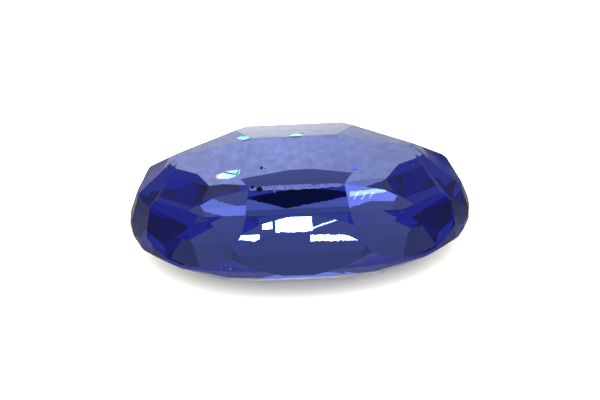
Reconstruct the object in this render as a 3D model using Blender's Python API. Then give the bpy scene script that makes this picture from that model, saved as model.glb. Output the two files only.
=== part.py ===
"""A blue sapphire cut as an oval, lying on its table.

The stone is one natural crystal, so it is one solid. It is cut here the way a cutter works: a plain blank is
taken down plane by plane, first the upright girdle round the outline, then the crown with its big flat table,
then the steps of the pavilion up to the keel.

Dimensions are millimetres and degrees. X runs along the stone, Y across it, Z up from the table that it lies on,
and the origin is the middle of the table.
"""

import math

import bmesh
import bpy
from mathutils import Vector

MM = 0.001

# The outline and the heights, from the table up
LENGTH = 7.80
WIDTH = 4.88
CROWN_HEIGHT = 0.75
GIRDLE_HEIGHT = 0.13
PAVILION_HEIGHT = 2.30
GIRDLE_FLATS = 40
FULLNESS = 0.02  # how far the shoulders of the outline stand out past a true oval, as a share of the reach
SKEW = 0.02  # the same, added on two opposite shoulders and taken off the other two

# Every facet is one plane. Its azimuth is the way it faces, from the front (-Y) towards +X. Its slope is the
# angle to the table. Its inset is how far it passes inside the outline, at the height where its row starts.

# The pavilion's steps: four rows, each with facets at the sides, the shoulders, beside the ends and at the ends.
# The last row runs up to the keel. A row is given by its height over the girdle, and then azimuth, slope and
# inset for each kind.
PAVILION_ROWS = (
    (0.00, (0, 66.0, 0.02), (32.0, 62.5, 0.03), (71.5, 72.0, 0.00), (90, 73.5, -0.01)),
    (0.81, (0, 58.0, 0.41), (26.0, 54.5, 0.43), (73.0, 52.0, 0.23), (90, 60.0, 0.21)),
    (1.10, (0, 40.0, 0.54), (31.5, 41.0, 0.71), (80.5, 46.5, 0.62), (90, 48.0, 0.57)),
    (1.59, (0, 23.5, 1.10), (36.0, 22.5, 1.11), (68.0, 24.5, 0.94), (90, 25.5, 0.91)),
)

# The crown: eight mains and sixteen small facets that meet the girdle, and eight stars round the table
MAINS = ((0, 37.5, 0.03), (41.5, 31.0, -0.01), (90, 33.0, 0.02))
GIRDLE_FACET_SLOPES = (40.0, 44.5, 38.0, 41.0)  # from the sides to the ends
STAR_SLOPES = (15.0, 18.0)  # at the sides and at the ends
STAR_REACH = 0.93  # size of the ring where the stars meet the table, against the ring that the mains would cut

# The cutter's small errors
PAVILION_TURN = -2.5  # the pavilion is turned against the outline, in degrees
CROWN_TURN = -2.5
KEEL_OFFSET = Vector((-0.07, -0.07, 0))  # the middle of the last row against the outline's middle

MERGE_DISTANCE = 0.002


def towards(azimuth):
    """The level direction of an azimuth in degrees."""
    turn = math.radians(azimuth)
    return Vector((math.sin(turn), -math.cos(turn), 0))


def outline_reach(azimuth, length=LENGTH, width=WIDTH):
    """How far the outline reaches from its middle in the direction of the azimuth."""
    facing = towards(azimuth)
    along, across = length / 2 * facing.x, -width / 2 * facing.y
    turn = 2 * math.atan2(along, across)
    return math.hypot(along, across) * (1 + FULLNESS * math.sin(turn) ** 2 + SKEW * math.sin(turn))


def azimuth_round_oval(share, length=LENGTH, width=WIDTH):
    """Which way the oval faces at a share of its round, so that facets get smaller where it bends more."""
    turn = 2 * math.pi * share
    return math.degrees(math.atan2(math.sin(turn) / length, math.cos(turn) / width))


def cut(stone, point, normal):
    """Grinds one flat facet: takes away what lies outside the plane, and closes the cut."""
    everything = stone.verts[:] + stone.edges[:] + stone.faces[:]
    result = bmesh.ops.bisect_plane(
        stone, geom=everything, dist=1e-5, plane_co=point, plane_no=normal, clear_outer=True
    )
    rim = [e for e in result["geom_cut"] if isinstance(e, bmesh.types.BMEdge)]
    if rim:
        bmesh.ops.edgeloop_fill(stone, edges=rim)


def cut_facet(stone, azimuth, slope, reach, height, side):
    """One sloping facet. It passes through the point at that reach and height. side is +1 up and -1 down."""
    tilt = math.radians(slope)
    facing = towards(azimuth)
    normal = facing * math.sin(tilt) + Vector((0, 0, side * math.cos(tilt)))
    cut(stone, facing * reach + Vector((0, 0, height)), normal)


def all_round(azimuth):
    """The same azimuth on the four quarters of the oval, or on its two sides or ends."""
    return sorted({azimuth, -azimuth % 360, 180 - azimuth, 180 + azimuth})


def make_blank():
    """A block a little larger than the stone."""
    stone = bmesh.new()
    bmesh.ops.create_cube(stone, size=1)
    height = CROWN_HEIGHT + GIRDLE_HEIGHT + PAVILION_HEIGHT
    bmesh.ops.scale(stone, verts=stone.verts, vec=(LENGTH * 1.2, WIDTH * 1.2, height))
    bmesh.ops.translate(stone, verts=stone.verts, vec=(0, 0, height / 2))
    return stone


def cut_girdle(stone):
    for k in range(GIRDLE_FLATS):
        azimuth = azimuth_round_oval((k + 0.5) / GIRDLE_FLATS)
        cut_facet(stone, azimuth, 90, outline_reach(azimuth), 0, 1)


def cut_crown(stone):
    for kind, slope, inset in MAINS:
        for place in all_round(kind):
            azimuth = place + CROWN_TURN
            cut_facet(stone, azimuth, slope, outline_reach(azimuth) - inset, CROWN_HEIGHT, -1)
    quarter = len(GIRDLE_FACET_SLOPES)
    for k in range(4 * quarter):
        azimuth = azimuth_round_oval((k + 0.5) / (4 * quarter)) + CROWN_TURN
        slope = (GIRDLE_FACET_SLOPES + GIRDLE_FACET_SLOPES[::-1])[k % (2 * quarter)]
        cut_facet(stone, azimuth, slope, outline_reach(azimuth), CROWN_HEIGHT, -1)
    run = CROWN_HEIGHT / math.tan(math.radians(MAINS[0][1]))
    ring = (LENGTH - 2 * run) * STAR_REACH, (WIDTH - 2 * run) * STAR_REACH
    for k in range(8):
        azimuth = azimuth_round_oval((k + 0.5) / 8, *ring) + CROWN_TURN
        slope = (STAR_SLOPES + STAR_SLOPES[::-1])[k % 4]
        cut_facet(stone, azimuth, slope, outline_reach(azimuth, *ring), 0, -1)


def cut_pavilion(stone):
    top_row = PAVILION_ROWS[-1][0]
    for over_girdle, *kinds in PAVILION_ROWS:
        height = CROWN_HEIGHT + GIRDLE_HEIGHT + over_girdle
        middle = KEEL_OFFSET * (over_girdle / top_row)
        for kind, slope, inset in kinds:
            for place in all_round(kind):
                azimuth = place + PAVILION_TURN
                reach = outline_reach(azimuth) - inset + middle.dot(towards(azimuth))
                cut_facet(stone, azimuth, slope, reach, height, 1)


def sapphire_material():
    """Blue corundum: clear, glossy and strongly refracting."""
    material = bpy.data.materials.new("blue_sapphire")
    material.use_nodes = True
    shader = material.node_tree.nodes["Principled BSDF"]
    shader.inputs["Base Color"].default_value = (0.08, 0.12, 0.60, 1)
    shader.inputs["Metallic"].default_value = 0
    shader.inputs["Roughness"].default_value = 0.02
    shader.inputs["IOR"].default_value = 1.77
    shader.inputs["Transmission Weight"].default_value = 1
    return material


def make_sapphire():
    stone = make_blank()
    cut_girdle(stone)
    cut_crown(stone)
    cut_pavilion(stone)
    bmesh.ops.remove_doubles(stone, verts=stone.verts, dist=MERGE_DISTANCE)
    bmesh.ops.recalc_face_normals(stone, faces=stone.faces)
    bmesh.ops.scale(stone, verts=stone.verts, vec=(MM, MM, MM))
    mesh = bpy.data.meshes.new("sapphire")
    stone.to_mesh(mesh)
    stone.free()
    mesh.materials.append(sapphire_material())
    sapphire = bpy.data.objects.new("sapphire", mesh)
    bpy.context.scene.collection.objects.link(sapphire)
    return sapphire


def main():
    for old in list(bpy.data.objects):
        bpy.data.objects.remove(old, do_unlink=True)
    make_sapphire()


main()
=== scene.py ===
# %% [markdown]
# A loose blue sapphire, cut as an oval, lies on its table, which is the big flat facet of its crown, on
# white paper. The stepped pavilion points up. This lesson dresses the solid stone that the frame holds: it
# gives the crystal its optics, wears two facet edges, seals a few dark crystals in it and lights it softly.
#
# The cut itself isn't touched. In a clear stone the facets are the picture: every patch of light and dark
# inside it is a bit of the room, folded by two to six facets on its way to the eye.

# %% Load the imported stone
import math
import random

import bmesh
import bpy
from mathutils import Matrix, Quaternion, Vector, noise
from mathutils.bvhtree import BVHTree


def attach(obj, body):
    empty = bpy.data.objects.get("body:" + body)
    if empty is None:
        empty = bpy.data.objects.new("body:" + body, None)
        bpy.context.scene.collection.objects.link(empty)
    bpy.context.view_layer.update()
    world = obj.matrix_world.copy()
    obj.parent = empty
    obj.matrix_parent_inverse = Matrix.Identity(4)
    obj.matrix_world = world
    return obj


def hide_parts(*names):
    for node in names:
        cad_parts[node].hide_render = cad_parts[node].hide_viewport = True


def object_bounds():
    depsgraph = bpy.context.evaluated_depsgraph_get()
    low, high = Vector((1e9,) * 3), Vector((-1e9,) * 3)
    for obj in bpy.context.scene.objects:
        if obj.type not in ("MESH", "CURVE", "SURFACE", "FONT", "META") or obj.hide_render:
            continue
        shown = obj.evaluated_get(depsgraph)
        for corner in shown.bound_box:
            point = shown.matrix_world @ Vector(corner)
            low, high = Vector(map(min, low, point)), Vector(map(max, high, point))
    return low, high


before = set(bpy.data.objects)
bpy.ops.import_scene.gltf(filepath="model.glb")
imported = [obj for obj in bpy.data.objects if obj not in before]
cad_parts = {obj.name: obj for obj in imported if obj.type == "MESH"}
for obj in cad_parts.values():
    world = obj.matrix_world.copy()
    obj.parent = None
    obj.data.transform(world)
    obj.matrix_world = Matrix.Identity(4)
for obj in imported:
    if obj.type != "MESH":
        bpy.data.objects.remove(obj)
cad_low, cad_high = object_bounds()
MM = 0.001
size = (cad_high - cad_low) / MM
print(f"stone: {size.x:.2f} x {size.y:.2f} x {size.z:.2f} mm")

# %% [markdown]
# Colours are written as sRGB hex, as a picture editor shows them. Blender's sockets want linear light, so
# one function turns the one into the other.

# %% Colours
def linear(hex_colour):
    """An sRGB hex colour as linear red, green, blue and a full alpha."""
    def channel(i):
        c = int(hex_colour[i:i + 2], 16) / 255
        return c / 12.92 if c <= 0.04045 else ((c + 0.055) / 1.055) ** 2.4
    return (channel(1), channel(3), channel(5), 1)


print(f"colours: mid grey #808080 is {linear('#808080')[0]:.3f} in linear light")

# %% [markdown]
# Every material and the world are small node trees. One function adds a node, sets what is given, and links
# the sockets that are named: a value that is an output socket becomes a link, any other becomes the
# socket's setting.

# %% Nodes
def add(tree, kind, where=(0, 0), attributes=None, **sockets):
    """Adds a node. attributes are set on the node itself, sockets on its inputs, with _ for a space."""
    node = tree.nodes.new(kind)
    node.location = where
    for name, value in (attributes or {}).items():
        setattr(node, name, value)
    for name, value in sockets.items():
        key = int(name[1:]) if name[1:].isdigit() else name.replace("_", " ")
        socket = node.inputs[key]
        if isinstance(value, bpy.types.NodeSocket):
            tree.links.new(value, socket)
        else:
            socket.default_value = value
    return node


def empty_material(name):
    material = bpy.data.materials.new(name)
    material.use_nodes = True
    material.node_tree.nodes.clear()
    return material, material.node_tree


# %% [markdown]
# The camera comes first, because a few marks on the stone are placed by where they show in the picture. It
# looks down on the stone from the front with a long macro lens, so that far and near facets keep nearly the
# same scale. The middle of the girdle's top edge is the point that it is aimed by.

# %% Camera
PHOTO_WIDTH, PHOTO_HEIGHT = 600, 400
GIRDLE_TOP = 0.88 * MM
GIRDLE_PIXEL = (299.7, 211.8)
PIXEL = 0.02306 * MM
LOOK_DOWN, LOOK_RIGHT, ROLL = (math.radians(a) for a in (35.2, 2.8, -2.3))
DISTANCE = 138 * MM


def aim(look_down, look_right, roll):
    """The camera's forward, right and up directions."""
    level = math.cos(look_down)
    forward = Vector((math.sin(look_right) * level, math.cos(look_right) * level, -math.sin(look_down)))
    right = forward.cross(Vector((0, 0, 1))).normalized()
    up = right.cross(forward)
    return forward, right * math.cos(roll) + up * math.sin(roll), up * math.cos(roll) - right * math.sin(roll)


forward, right, up = aim(LOOK_DOWN, LOOK_RIGHT, ROLL)
side_step = (PHOTO_WIDTH / 2 - GIRDLE_PIXEL[0]) * PIXEL
up_step = (GIRDLE_PIXEL[1] - PHOTO_HEIGHT / 2) * PIXEL
camera = bpy.data.objects.new("camera", bpy.data.cameras.new("camera"))
bpy.context.scene.collection.objects.link(camera)
camera.matrix_world = Matrix((right, up, -forward)).transposed().to_4x4()
camera.location = Vector((0, 0, GIRDLE_TOP)) - forward * DISTANCE + right * side_step + up * up_step
camera.data.lens = camera.data.sensor_width * DISTANCE / (PHOTO_WIDTH * PIXEL)
camera.data.clip_start, camera.data.clip_end = 10 * MM, 1000 * MM
bpy.context.scene.camera = camera
print(f"camera: {camera.data.lens:.0f} mm lens, {DISTANCE / MM:.0f} mm away")


def sight_line(x, y):
    """The line of sight through a pixel of the picture: where it starts and its direction."""
    aside = (x - PHOTO_WIDTH / 2) * PIXEL * right - (y - PHOTO_HEIGHT / 2) * PIXEL * up
    return camera.location.copy(), (forward * DISTANCE + aside).normalized()


# %% [markdown]
# The stone lies on a sheet of matt white paper. It is a plain disc, large enough to reach past the picture
# from any side, and it is staging, not part of the object. Uncoated paper scatters all its light, so it has
# no gloss.

# %% Paper
PAPER_FIBRE = 0.3 * MM


def white_paper():
    material, tree = empty_material("white_paper")
    fibre = add(tree, "ShaderNodeTexNoise", (-600, 0), Scale=1 / PAPER_FIBRE, Detail=3)
    tone = add(tree, "ShaderNodeMix", (-300, 0), {"data_type": "RGBA"}, Factor=fibre.outputs["Fac"],
               _6=linear("#F2F2F2"), _7=linear("#F7F7F7"))
    shader = add(tree, "ShaderNodeBsdfDiffuse", (0, 0), Color=tone.outputs[2])
    add(tree, "ShaderNodeOutputMaterial", (300, 0), Surface=shader.outputs[0])
    return material


PAPER_RADIUS = 450 * MM
PAPER_DROP = 0.002 * MM  # keeps the paper just clear of the table facet
paper_mesh = bpy.data.meshes.new("paper")
disc = bmesh.new()
bmesh.ops.create_circle(disc, cap_ends=True, segments=96, radius=PAPER_RADIUS)
disc.to_mesh(paper_mesh)
disc.free()
paper_mesh.materials.append(white_paper())
paper = bpy.data.objects.new("paper", paper_mesh)
paper.location.z = -PAPER_DROP
bpy.context.scene.collection.objects.link(paper)
paper.visible_glossy = paper.visible_transmission = False
print(f"paper: disc of {2 * PAPER_RADIUS / MM:.0f} mm")

# %% [markdown]
# Gem photographs are often taken on a light table: an opal sheet that glows from below. In the picture it
# burns out to plain white, but the stone shows how bright it really is, so the stone sees a sheet of its
# own. It glows softly, and light and shade are painted into that glow: a painted pool of light right behind
# the stone, where the stone would gather the light that falls through it, and further back a painted bright
# middle with painted shade on both sides. The facets along the far rim mirror that at a low angle.

# %% Light table
SHEET_GLOW = 0.46
# painted light and shade on the sheet: a pool of light behind the stone, a bright middle further back, shade
# at both sides
SHEET_PAINTED_LIGHT_AND_SHADE = (
    # middle across, middle back, radius, glow
    (-0.3, 2.2, 4.5, 1.05),
    (-0.8, 11.0, 7.0, 1.35),
    (-7.0, 3.0, 5.0, 0.20),
    (7.0, 3.0, 6.0, 0.02),
    (7.5, 8.5, 4.5, 0.05),
)
FIBRE = 0.22 * MM
MOTTLE = 0.2


def opal_sheet():
    """A spot of painted light or painted shade: its middle and radius in millimetres and its glow, which
    fades into what was there.
    """
    material, tree = empty_material("opal_sheet")
    place = add(tree, "ShaderNodeNewGeometry", (-1100, 0)).outputs["Position"]
    glow = add(tree, "ShaderNodeValue", (-900, 300)).outputs[0]
    glow.default_value = SHEET_GLOW
    # each spot paints a pool of light or a patch of shade into the sheet's glow
    for x, y, radius, brightness in SHEET_PAINTED_LIGHT_AND_SHADE:
        away = add(tree, "ShaderNodeVectorMath", (-900, 0), {"operation": "DISTANCE"}, _0=place,
                   _1=Vector((x, y, 0)) * MM)
        fade = add(tree, "ShaderNodeMapRange", (-700, 0), {"interpolation_type": "SMOOTHSTEP"},
                   Value=away.outputs["Value"], From_Min=radius * MM, From_Max=-0.2 * radius * MM)
        glow = add(tree, "ShaderNodeMix", (-450, 0), {"data_type": "FLOAT"}, Factor=fade.outputs[0],
                   _2=glow, _3=brightness).outputs[0]
    fibre = add(tree, "ShaderNodeTexNoise", (-700, -300), Vector=place, Scale=1 / FIBRE, Detail=4,
                Roughness=0.65)
    mottle = add(tree, "ShaderNodeMapRange", (-450, -300), Value=fibre.outputs["Fac"], From_Min=0.3,
                 From_Max=0.7, To_Min=1 - MOTTLE, To_Max=1 + MOTTLE)
    strength = add(tree, "ShaderNodeMath", (-250, 0), {"operation": "MULTIPLY"}, _0=glow,
                   _1=mottle.outputs[0])
    shader = add(tree, "ShaderNodeEmission", (-50, 0), Color=linear("#FFFDF0"),
                 Strength=strength.outputs[0])
    add(tree, "ShaderNodeOutputMaterial", (200, 0), Surface=shader.outputs[0])
    return material


sheet = bpy.data.objects.new("light_table", paper_mesh.copy())
sheet.data.materials[0] = opal_sheet()
sheet.location.z = -2 * PAPER_DROP
sheet.visible_camera = sheet.visible_diffuse = sheet.visible_shadow = False
bpy.context.scene.collection.objects.link(sheet)
print(f"light table: {len(SHEET_PAINTED_LIGHT_AND_SHADE)} spots on the sheet")

# %% [markdown]
# The paper is lit brightly and evenly. The room itself is a dim grey, and soft boxes stand round the stone. A
# facet shows a soft box only where it folds the line of sight onto it, so each box is given by its
# direction from the stone, its size in degrees and its brightness beside white paper. Four large lights are
# for the paper alone, one overhead and three low ones. They are hidden from reflections and from what is
# seen through the stone, or they would wash out its facets. They are a little warm, which takes the blue
# out of the shadow.

# %% Light
LIGHT_DISTANCE = 350 * MM


def direction(azimuth, elevation):
    """Azimuth 0 is straight behind the stone and 90 to its right. Elevation is over the paper, in degrees."""
    turn, rise = math.radians(azimuth), math.radians(elevation)
    return Vector((math.sin(turn) * math.cos(rise), math.cos(turn) * math.cos(rise), math.sin(rise)))


def soft_box(name, azimuth, elevation, width, height, radiance, hex_colour="#FFFFFF", tilt=0):
    """A flat rectangle of light that faces the stone, turned by tilt degrees as seen from there."""
    data = bpy.data.lights.new(name, "AREA")
    data.shape = "RECTANGLE"
    data.size = 2 * LIGHT_DISTANCE * math.tan(math.radians(width / 2))
    data.size_y = 2 * LIGHT_DISTANCE * math.tan(math.radians(height / 2))
    data.energy = radiance * 4 * data.size * data.size_y
    data.color = linear(hex_colour)[:3]
    box = bpy.data.objects.new(name, data)
    away = direction(azimuth, elevation)
    box.location = Vector((0, 0, GIRDLE_TOP)) + away * LIGHT_DISTANCE
    box.rotation_euler = (away.to_track_quat("Z", "Y") @ Quaternion((0, 0, 1), math.radians(tilt))).to_euler()
    bpy.context.scene.collection.objects.link(box)
    return box


WARM_WHITE = "#FFFDF1"
PAPER_LIGHTS = (
    # name, azimuth, elevation, width and height in degrees, brightness
    ("overhead", 180, 88, 100, 100, 2.5),
    ("fill_front", 180, 25, 110, 34, 1.8),
    ("fill_left", 270, 25, 60, 34, 2.4),
    ("fill_right", 90, 25, 60, 34, 2.4),
)
for name, azimuth, elevation, width, height, radiance in PAPER_LIGHTS:
    box = soft_box(name, azimuth, elevation, width, height, radiance, WARM_WHITE)
    box.visible_glossy = box.visible_transmission = False
SOFT_BOXES = (
    ("left_behind", 333, 57.5, 8, 9, 0.70),
    ("right_behind", 36, 61, 9, 4, 2.1),
    ("low_behind", 357, 12, 36, 13, 0.70),
    ("top_left", 313, 75, 9, 4, 0.7),
)
for name, azimuth, elevation, width, height, radiance in SOFT_BOXES:
    soft_box(name, azimuth, elevation, width, height, radiance)
print(f"light: {len(PAPER_LIGHTS)} for the paper, {len(SOFT_BOXES)} soft boxes")

# %% [markdown]
# The sharp white flashes inside the stone are lamps that are small from where it lies. Flat facets keep a
# lamp's outline sharp, so a narrow lamp gives a rectangle of light with straight sides. The last lamp
# stands on the left and lights the healed cracks further down.

# %% Small lamps
FLAKE_LAMP = (285, 45)
SMALL_LAMPS = (
    # name, azimuth, elevation, width and height in degrees, brightness, tilt
    ("lamp_middle", 2.70, 40.30, 0.485, 2.6, 20.0, 0),
    ("lamp_beside", 2.23, 41.49, 0.135, 0.12, 20.0, 0),
    ("lamp_streak", 3.34, 41.49, 0.48, 0.018, 8.0, 18),
    ("lamp_slit", 3.33, 35.37, 0.62, 0.075, 20.0, -1),
    ("lamp_left", 30.6, 63.41, 0.9, 0.15, 20.0, -3),
    ("strip_right", 334.10, 56.685, 0.48, 0.065, 2.5, -15),
    ("streak_right_1", 333.81, 56.675, 0.12, 0.020, 2.0, 35),
    ("streak_right_2", 333.97, 56.715, 0.13, 0.020, 2.0, 35),
    ("streak_right_3", 334.14, 56.75, 0.11, 0.020, 1.6, 35),
    ("box_right", 338.3, 49.22, 2.0, 1.0, 0.75, 0),
    ("band_left", 32.2, 57.60, 2.0, 1.96, 0.45, 0),
    ("band_left_low", 27.3, 49.36, 1.5, 0.72, 0.6, 0),
    ("under_hexagon_left", 1.925, 56.274, 0.75, 0.30, 0.4, -17.8),
    ("under_hexagon_right", 3.37, 56.32, 0.85, 0.30, 0.4, 9.2),
    ("lamp_for_flakes", *FLAKE_LAMP, 12, 12, 1.15, 0),
)
for name, azimuth, elevation, width, height, radiance, tilt in SMALL_LAMPS:
    soft_box(name, azimuth, elevation, width, height, radiance, tilt=tilt)
print(f"light: {len(SMALL_LAMPS)} small lamps")

# %% [markdown]
# The room is a dim grey that is lighter high up behind the stone and darker in front, where the camera
# stands. Two soft patches of it are nearly black: they give the dark facets in the middle of the stone.
# Generated coordinates in a world are the direction that is looked in, with Y towards the back and Z up.

# %% Room
LOW_ROOM = (0.18, 0.20)  # brightness in front and behind, near the floor
HIGH_ROOM = (0.20, 0.45)  # the same, high up
RISE = (0.34, 0.77)  # from where to where the one turns into the other, as the height part of the direction
DARK_PATCHES = ((4, 57, 6, 0.07), (182, 63, 20, 0.01))  # azimuth, elevation, radius in degrees, what is left
PATCH_RIM = 0.2  # how far a patch's soft rim reaches in and out, as a share of its radius

world = bpy.data.worlds.new("grey_room")
bpy.context.scene.world = world
world.use_nodes = True
tree = world.node_tree
tree.nodes.clear()
where = add(tree, "ShaderNodeTexCoord", (-1300, 0))
axes = add(tree, "ShaderNodeSeparateXYZ", (-1100, 0), Vector=where.outputs["Generated"])
low_room = add(tree, "ShaderNodeMapRange", (-900, 200), Value=axes.outputs["Y"], From_Min=-1.0,
               From_Max=1.0, To_Min=LOW_ROOM[0], To_Max=LOW_ROOM[1])
high_room = add(tree, "ShaderNodeMapRange", (-900, -50), Value=axes.outputs["Y"], From_Min=-0.8,
                From_Max=0.8, To_Min=HIGH_ROOM[0], To_Max=HIGH_ROOM[1])
rise = add(tree, "ShaderNodeMapRange", (-900, -300), Value=axes.outputs["Z"], From_Min=RISE[0],
           From_Max=RISE[1])
level = add(tree, "ShaderNodeMix", (-650, 0), {"data_type": "FLOAT"}, Factor=rise.outputs[0],
            _2=low_room.outputs[0], _3=high_room.outputs[0]).outputs[0]
for azimuth, elevation, radius, left_over in DARK_PATCHES:
    towards = add(tree, "ShaderNodeVectorMath", (-900, -600), {"operation": "DOT_PRODUCT"},
                  _0=where.outputs["Generated"], _1=direction(azimuth, elevation))
    patch = add(tree, "ShaderNodeMapRange", (-650, -600), {"interpolation_type": "SMOOTHSTEP"},
                Value=towards.outputs["Value"], From_Min=math.cos(math.radians(radius * (1 + PATCH_RIM))),
                From_Max=math.cos(math.radians(radius * (1 - PATCH_RIM))), To_Min=1.0, To_Max=left_over)
    level = add(tree, "ShaderNodeMath", (-400, 0), {"operation": "MULTIPLY"},
                _0=level, _1=patch.outputs[0]).outputs[0]
background = add(tree, "ShaderNodeBackground", (0, 0), Strength=level)
add(tree, "ShaderNodeOutputWorld", (250, 0), Surface=background.outputs[0])
print(f"room: {len(DARK_PATCHES)} dark patches")

# %% [markdown]
# A line of sight can be folded many times inside a gem before it gets out, so the renderer may follow more
# bounces than its own setting. The picture's tones are shown as they are, with no film curve.

# %% Render choices that belong to a gem
BOUNCES = 32
scene = bpy.context.scene
scene.cycles.max_bounces = scene.cycles.transmission_bounces = scene.cycles.glossy_bounces = BOUNCES
scene.cycles.use_denoising = True
scene.view_settings.view_transform = "Standard"
print(f"render: up to {BOUNCES} bounces")

# %% [markdown]
# Sapphire is corundum, aluminium oxide coloured by iron and titanium. Its index is 1.765, and it swallows
# red and green on the way, so the blue comes from the depth that the light has crossed, not from its skin:
# the skin is white in the shader, and the colour sits in the volume. The facets are polished with diamond
# powder, which leaves them smooth as a mirror, but for waves of a hundredth of a micrometre.

# %% Sapphire
SAPPHIRE_IOR = 1.765
TINT = (0.067, 0.240, 0.900, 1)  # a channel is absorbed by what it lacks to 1, times the strength
STRENGTH = 420  # per metre
POLISH = 0.0
WAVE_SPACING = 0.20 * MM
WAVE_DEPTH = 0.00001 * MM


def polished_sapphire():
    material, tree = empty_material("polished_sapphire")
    where = add(tree, "ShaderNodeTexCoord", (-1100, -200))
    wave = add(tree, "ShaderNodeTexNoise", (-900, -200), Vector=where.outputs["Object"],
               Scale=1 / WAVE_SPACING, Detail=2)
    skin = add(tree, "ShaderNodeBump", (-300, -200), Strength=1.0, Distance=WAVE_DEPTH,
               Height=wave.outputs["Fac"])
    shader = add(tree, "ShaderNodeBsdfPrincipled", (0, 0), Base_Color=linear("#FFFFFF"), IOR=SAPPHIRE_IOR,
                 Roughness=POLISH, Transmission_Weight=1.0, Normal=skin.outputs[0])
    volume = add(tree, "ShaderNodeVolumeAbsorption", (0, -400), Color=TINT, Density=STRENGTH)
    add(tree, "ShaderNodeOutputMaterial", (300, 0), Surface=shader.outputs[0], Volume=volume.outputs[0])
    return material


for colour, passed in zip(("red", "green", "blue"), TINT):
    print(f"sapphire: 1 mm lets through {math.exp(-(1 - passed) * STRENGTH * MM):.0%} of the {colour}")

# %% [markdown]
# The stone's own mesh is a copy of the solid that the frame holds. The copy comes as triangles, so they are
# joined again into the flat facets that a cutter would count, and every facet is shaded flat. Meshes are
# worked on in millimetres here, and piece() turns them into metres.

# %% Stone
SAME_POINT = 0.0005
SAME_PLANE = math.radians(0.3)


def facets_of(node):
    """The node's mesh in millimetres, with one face for each facet."""
    mesh = bmesh.new()
    mesh.from_mesh(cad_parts[node].data)
    bmesh.ops.scale(mesh, verts=mesh.verts, vec=(1 / MM,) * 3)
    bmesh.ops.remove_doubles(mesh, verts=mesh.verts, dist=SAME_POINT)
    bmesh.ops.dissolve_limit(mesh, angle_limit=SAME_PLANE, verts=mesh.verts, edges=mesh.edges)
    bmesh.ops.recalc_face_normals(mesh, faces=mesh.faces)
    for face in mesh.faces:
        face.smooth = False
    return mesh


def piece(name, mesh, *materials):
    """Makes an object of a mesh in millimetres, and lets it ride on the stone's body."""
    bmesh.ops.scale(mesh, verts=mesh.verts, vec=(MM,) * 3)
    data = bpy.data.meshes.new(name)
    mesh.to_mesh(data)
    mesh.free()
    for material in materials:
        data.materials.append(material)
    made = bpy.data.objects.new(name, data)
    bpy.context.scene.collection.objects.link(made)
    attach(made, "root")
    return made


stone_mesh = facets_of("sapphire")
print(f"stone: {len(stone_mesh.faces)} facets, {len(stone_mesh.edges)} edges")

# %% [markdown]
# Two facet edges under the keel's front facet are worn, the long one heavily and its neighbour on the right
# barely. Corundum is hard but brittle, so an edge doesn't round off: it crushes, in a row of tiny
# shell-shaped chips. An edge is found by the two facets that meet there, and a facet by the way it faces.

# %% Facets and edges by the way they face
SMALLEST_FACET = 0.02  # square millimetres: anything smaller is a chip


def facet_facing(mesh, azimuth, slope):
    """The facet that faces most nearly that way: azimuth from the front to the right, slope from level."""
    facets = (face for face in mesh.faces if face.calc_area() > SMALLEST_FACET)
    return max(facets, key=lambda face: face.normal.dot(direction(180 - azimuth, 90 - slope)))


def edge_between(mesh, *facings):
    one, other = (facet_facing(mesh, *facing) for facing in facings)
    edge = next(e for e in one.edges if e in other.edges[:])
    return edge, one, other


KEEL_EDGE = ((-2.5, 23.5), (-2.5, 40))
SHOULDER_EDGE = ((-2.5, 23.5), (29, 41))
for facings in (KEEL_EDGE, SHOULDER_EDGE):
    print(f"edge to wear: {edge_between(stone_mesh, *facings)[0].calc_length():.2f} mm long")

# %% [markdown]
# A worn edge is taken out, and a strip of small faces goes in its place, a little lower. How far the strip
# reaches over each facet comes from noise: a slow one for the wear, a quick one for the grain, and a few
# chips at given places. The two facets then get ragged rims, so that the mesh stays closed.

# %% Ragged rims
STEP = 0.018  # length of a small face along the edge
ROWS = 3  # small faces across the strip
NOISE_SIZE = 0.15
GRAIN = 4.3  # how many times finer the quick noise is
ENDS = 3  # steps over which the strip narrows at both ends


def across_edge(facet, start, along):
    """The direction in the facet's plane that leads away from its edge."""
    aside = facet.normal.cross(along).normalized()
    return aside if aside.dot(facet.calc_center_median() - start) > 0 else -aside


def strip_reach(t, steps, side, length, width, chips, seed):
    """The strip's reach over a facet at the share t of the edge. Side 0 is the upper facet, 1 the lower."""
    place = Vector((t * length / NOISE_SIZE, seed, 5 * side))
    wide = 0.5 + 0.5 * math.sin(math.pi * t)
    wide += 0.4 * noise.noise(place) + 0.2 * noise.noise(place * GRAIN)
    for at, chip_length, extra in chips:
        if (extra > 0) == (side == 1):
            wide += extra * math.exp(-((t - at) * length / chip_length) ** 2)
    return width * max(0.15, abs(wide)) * min(1, t * steps / ENDS, (1 - t) * steps / ENDS)


def refit(mesh, facet, start, end, row):
    """Gives a facet a ragged rim of new corners between two of its own."""
    corners = facet.verts[:]
    i = corners.index(start)
    forwards = corners[(i + 1) % len(corners)] == end
    new = row if forwards else row[::-1]
    cut = i + 1 if forwards else (corners.index(end) + 1)
    made = mesh.faces.new(corners[:cut] + new + corners[cut:])
    mesh.faces.remove(facet)
    made.normal_update()


print(f"rims: a corner each {STEP} mm, {ROWS} small faces across")

# %% [markdown]
# The next function wears one edge. It hands back a second mesh of the same strip, a hair higher, for the
# white rubble that lies in the chips and catches the light there. The keel's edge has two bigger chips: one
# widens the strip on the lower facet, and one with a minus eats into it on the upper facet.

# %% Wear
HOLLOW = (0.05, 0.10)  # how deep the strip is, as a share of its width: at least, and at random on top
RUBBLE_LIFT = 0.002


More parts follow.
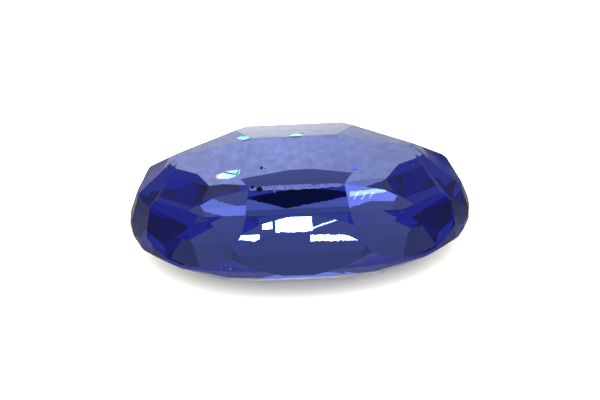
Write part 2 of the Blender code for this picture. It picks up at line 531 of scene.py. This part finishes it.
def wear(mesh, facings, width, chips, seed):
    """Chips an edge. A chip is its place along the edge from 0 to 1, its length and its extra width."""
    edge, upper, lower = edge_between(mesh, *facings)
    start, end = sorted(edge.verts, key=lambda v: v.co.x)
    along, origin = end.co - start.co, start.co.copy()
    outward = (upper.normal + lower.normal).normalized()
    sides = across_edge(upper, origin, along), across_edge(lower, origin, along)
    steps = round(along.length / STEP)
    rings = [[start] * (ROWS + 1)]
    for k in range(1, steps):
        t = k / steps
        reach = [strip_reach(t, steps, side, along.length, width, chips, seed) for side in (0, 1)]
        rim = [origin + along * t + sides[side] * reach[side] for side in (0, 1)]
        ring = []
        for j in range(ROWS + 1):
            point = rim[0].lerp(rim[1], j / ROWS)
            if 0 < j < ROWS:
                chance = random.Random(seed * 997 + k * 7 + j).random()
                point -= outward * (reach[0] + reach[1]) * (HOLLOW[0] + HOLLOW[1] * chance)
            ring.append(mesh.verts.new(point))
        rings.append(ring)
    rings.append([end] * (ROWS + 1))
    refit(mesh, upper, start, end, [ring[0] for ring in rings[1:-1]])
    refit(mesh, lower, start, end, [ring[-1] for ring in rings[1:-1]])
    mesh.edges.remove(edge)
    rubble = bmesh.new()
    for near, far in zip(rings, rings[1:]):
        for j in range(ROWS):
            for corners in ((near[j], far[j], far[j + 1]), (near[j], far[j + 1], near[j + 1])):
                if len(set(corners)) == 3:
                    mesh.faces.new(corners)
                    rubble.faces.new([rubble.verts.new(v.co + outward * RUBBLE_LIFT) for v in corners])
    bmesh.ops.remove_doubles(rubble, verts=rubble.verts, dist=1e-5)
    return rubble


WORN_EDGES = (
    # facings, width, chips, seed
    (KEEL_EDGE, 0.062, ((0.27, 0.025, 1.2), (0.68, 0.05, -0.8)), 3),
    (SHOULDER_EDGE, 0.014, (), 5),
)
rubbles = [wear(stone_mesh, *edge) for edge in WORN_EDGES]
bmesh.ops.recalc_face_normals(stone_mesh, faces=stone_mesh.faces)
print(f"worn edges: {len(rubbles)}, stone now {len(stone_mesh.faces)} faces")

# %% [markdown]
# Crushed corundum is a white powder, as ground glass is. Here it lies thin, so the dark blue of the stone
# shows through it. The grains are a few micrometres, too fine to model, so a noise of 0.04 mm, the size
# that still shows, mottles the colour.

# %% Rubble
GRAIN_SIZE = 0.04 * MM
GRAIN_RELIEF = 0.01 * MM


def crushed_corundum():
    material, tree = empty_material("crushed_corundum")
    where = add(tree, "ShaderNodeTexCoord", (-900, 0))
    grain = add(tree, "ShaderNodeTexNoise", (-700, 0), Vector=where.outputs["Object"],
                Scale=1 / GRAIN_SIZE, Detail=4, Roughness=0.7)
    tone = add(tree, "ShaderNodeValToRGB", (-450, 0), Fac=grain.outputs["Fac"])
    tone.color_ramp.elements[0].position, tone.color_ramp.elements[0].color = 0.38, linear("#2E3366")
    tone.color_ramp.elements[1].position, tone.color_ramp.elements[1].color = 0.66, linear("#545A9A")
    skin = add(tree, "ShaderNodeBump", (-200, -250), Strength=0.6, Distance=GRAIN_RELIEF,
               Height=grain.outputs["Fac"])
    shader = add(tree, "ShaderNodeBsdfPrincipled", (0, 0), Base_Color=tone.outputs["Color"], Roughness=0.7,
                 Specular_IOR_Level=0.1, Normal=skin.outputs[0])
    add(tree, "ShaderNodeOutputMaterial", (300, 0), Surface=shader.outputs[0])
    return material


crushed = crushed_corundum()
for k, rubble in enumerate(rubbles):
    print(f"crushed edge {k + 1}: {len(rubble.faces)} faces")
    piece(f"crushed_edge_{k + 1}", rubble, crushed)
stone = piece("cut_sapphire", stone_mesh, polished_sapphire())
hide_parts("sapphire")

# %% [markdown]
# A few dark crystals were in the liquid when the sapphire grew, and it closed round them. They lie just
# under the facets or reach them. Each is placed where the line of sight through its pixel meets the stone,
# and then moved straight in by its depth.

# %% Dark crystals
ANGULAR = 0.35  # how far a lump's corners stand out, as a share of its radius
SPINEL_GRAIN = 0.02 * MM
corners = [v.co for v in stone.data.vertices]
skin_tree = BVHTree.FromPolygons(corners, [p.vertices for p in stone.data.polygons])


def under_skin(x, y, depth):
    """The point at that depth in millimetres under the stone's skin, in line with a pixel of the picture."""
    hit, normal, _, _ = skin_tree.ray_cast(*sight_line(x, y))
    return hit - normal * depth * MM


def lump(radius, seed):
    """A small angular crystal about its own middle, in millimetres."""
    place = random.Random(seed)
    mesh = bmesh.new()
    bmesh.ops.create_icosphere(mesh, subdivisions=2, radius=radius)
    stretch = Vector((place.uniform(0.9, 1.3), place.uniform(0.8, 1.1), 1.0))
    for v in mesh.verts:
        v.co *= 1 + ANGULAR * noise.noise(v.co / radius * 0.9 + Vector((seed, 0, 0)))
        v.co = Vector(a * b for a, b in zip(v.co, stretch))
    angle = place.uniform(0, 6.28)
    axis = Vector((place.random(), place.random(), 1)).normalized()
    bmesh.ops.rotate(mesh, verts=mesh.verts, matrix=Matrix.Rotation(angle, 3, axis))
    return mesh


def dark_spinel():
    material, tree = empty_material("dark_spinel")
    where = add(tree, "ShaderNodeTexCoord", (-700, 0))
    grain = add(tree, "ShaderNodeTexNoise", (-500, 0), Vector=where.outputs["Object"], Scale=1 / SPINEL_GRAIN)
    tone = add(tree, "ShaderNodeMix", (-250, 0), {"data_type": "RGBA"}, Factor=grain.outputs["Fac"],
               _6=linear("#020203"), _7=linear("#0A0A10"))
    shader = add(tree, "ShaderNodeBsdfPrincipled", (0, 0), Base_Color=tone.outputs[2], Roughness=0.5,
                 Specular_IOR_Level=0.05)
    add(tree, "ShaderNodeOutputMaterial", (300, 0), Surface=shader.outputs[0])
    return material


DARK_CRYSTALS = (
    # pixel across, pixel down, radius, depth under the skin
    (259.7, 189.0, 0.060, 0.015),
    (252.5, 187.4, 0.046, 0.015),
    (261.4, 167.6, 0.032, 0.02),
    (265.4, 168.5, 0.017, 0.02),
)
dark = dark_spinel()
for k, (x, y, radius, depth) in enumerate(DARK_CRYSTALS):
    mesh = lump(radius, k)
    middle = under_skin(x, y, depth) / MM
    bmesh.ops.translate(mesh, verts=mesh.verts, vec=middle)
    piece(f"dark_crystal_{k + 1}", mesh, dark)
print(f"dark crystals: {len(DARK_CRYSTALS)}")

# %% [markdown]
# The polish has a few pits, where a grain was torn out, and the girdle a few nicks. They are too small to
# show their shape: each is a pale dot of crushed stone.

# %% Pits
PIT_DEPTH = 0.004
FIRST_PIT_SEED = 40
PITS = (
    # pixel across, pixel down, radius
    (149.5, 187.5, 0.011), (153.8, 211.5, 0.011), (422.0, 209.8, 0.011), (412.8, 165.0, 0.011),
    (419.0, 213.5, 0.009), (152.0, 197.0, 0.009),
    (230.5, 268.8, 0.030), (221.0, 268.2, 0.016), (215.5, 268.0, 0.012), (391.5, 265.0, 0.014),
)
for k, (x, y, radius) in enumerate(PITS):
    mesh = lump(radius, FIRST_PIT_SEED + k)
    bmesh.ops.translate(mesh, verts=mesh.verts, vec=under_skin(x, y, PIT_DEPTH) / MM)
    piece(f"pit_{k + 1}", mesh, crushed)
print(f"pits: {len(PITS)}")

# %% [markdown]
# A crack that healed only in part holds a film of gas. Light can't cross the film, so such a flake is a
# mirror inside the stone, with the colours of a soap film at its rim. A flake flashes when it folds a lamp
# towards the eye: its plane stands square to the half-way direction between the lamp and the eye, both
# taken inside the stone, where they run steeper than outside. The big flake reaches under three facets.
# Each bends the light another way, so it is made in three parts.

# %% Healed cracks
def bend_in(travel, normal):
    """The direction of travel inside the stone of light that comes in through a facet."""
    inside = (travel - normal * travel.dot(normal)) / SAPPHIRE_IOR
    return inside - normal * math.sqrt(1 - inside.length_squared)


def gas_film():
    material, tree = empty_material("gas_film")
    thickness = add(tree, "ShaderNodeAttribute", (-700, 0), {"attribute_name": "film_thickness"})
    film = add(tree, "ShaderNodeValToRGB", (-450, 0), Fac=thickness.outputs["Fac"])
    ramp = film.color_ramp
    ramp.elements[0].color, ramp.elements[1].color = linear("#C86A78"), linear("#9CF4FF")
    for position, colour in ((0.10, "#F4CCDC"), (0.20, "#FFFFFF"), (0.42, "#D0FAFF")):
        ramp.elements.new(position).color = linear(colour)
    shader = add(tree, "ShaderNodeBsdfPrincipled", (0, 0), Base_Color=film.outputs["Color"], Metallic=1.0,
                 Roughness=0.12)
    add(tree, "ShaderNodeOutputMaterial", (300, 0), Surface=shader.outputs[0])
    return material


def flake(name, pixels, depth, film_range, lamp_direction, material):
    """A thin polygon under the skin whose corners show at these pixels, turned so that it mirrors a lamp."""
    centre = tuple(sum(p[i] for p in pixels) / len(pixels) for i in (0, 1))
    start, sight = sight_line(*centre)
    hit, normal, _, _ = skin_tree.ray_cast(start, sight)
    seen, lit = bend_in(sight, normal), bend_in(-lamp_direction, normal)
    facing = -(seen + lit).normalized()
    middle = hit + seen * depth * MM
    mesh = bmesh.new()
    thickness = mesh.verts.layers.float.new("film_thickness")
    left_end, right_end = min(x for x, y in pixels), max(x for x, y in pixels)
    rim = []
    for x, y in pixels:
        start, sight = sight_line(x, y)
        on_skin, normal, _, _ = skin_tree.ray_cast(start, sight)
        inside = bend_in(sight, normal)
        run = (middle - on_skin).dot(facing) / inside.dot(facing)
        rim.append(mesh.verts.new((on_skin + inside * run) / MM))
        share = (x - left_end) / (right_end - left_end)
        rim[-1][thickness] = film_range[0] + (film_range[1] - film_range[0]) * share
    mesh.faces.new(rim)
    bmesh.ops.recalc_face_normals(mesh, faces=mesh.faces)
    return piece(name, mesh, material)


FLAKES = (
    # name, corners in pixels, depth under the skin, film thickness at the left and right end
    ("flake_low",
     ((214.5, 176), (217, 178.7), (228.5, 178.8), (236.5, 176.1), (235.9, 174.4), (224.5, 172)),
     0.10, (0.0, 0.8)),
    ("flake_high",
     ((224.5, 171.6), (235.9, 173.9), (237.8, 171.2), (237.9, 169.7), (229, 171)),
     0.03, (0.4, 0.9)),
    ("flake_tip",
     ((238.1, 171.4), (236.5, 174.2), (236.7, 175.2), (239.0, 174.6), (240.5, 169.1), (238.3, 169.6)),
     0.03, (0.85, 1.0)),
    ("flake_far_left",
     ((236.5, 138.5), (240, 136.6), (249, 136.2), (249.5, 138.4), (243, 140)),
     0.06, (0.7, 1.0)),
    ("flake_far",
     ((289, 135.2), (294, 133.8), (303.5, 133.6), (301, 135.8), (291, 136)),
     0.06, (0.7, 1.0)),
)
film = gas_film()
for name, pixels, depth, film_range in FLAKES:
    flake(name, pixels, depth, film_range, direction(*FLAKE_LAMP), film)
print(f"healed cracks: {len(FLAKES)}")
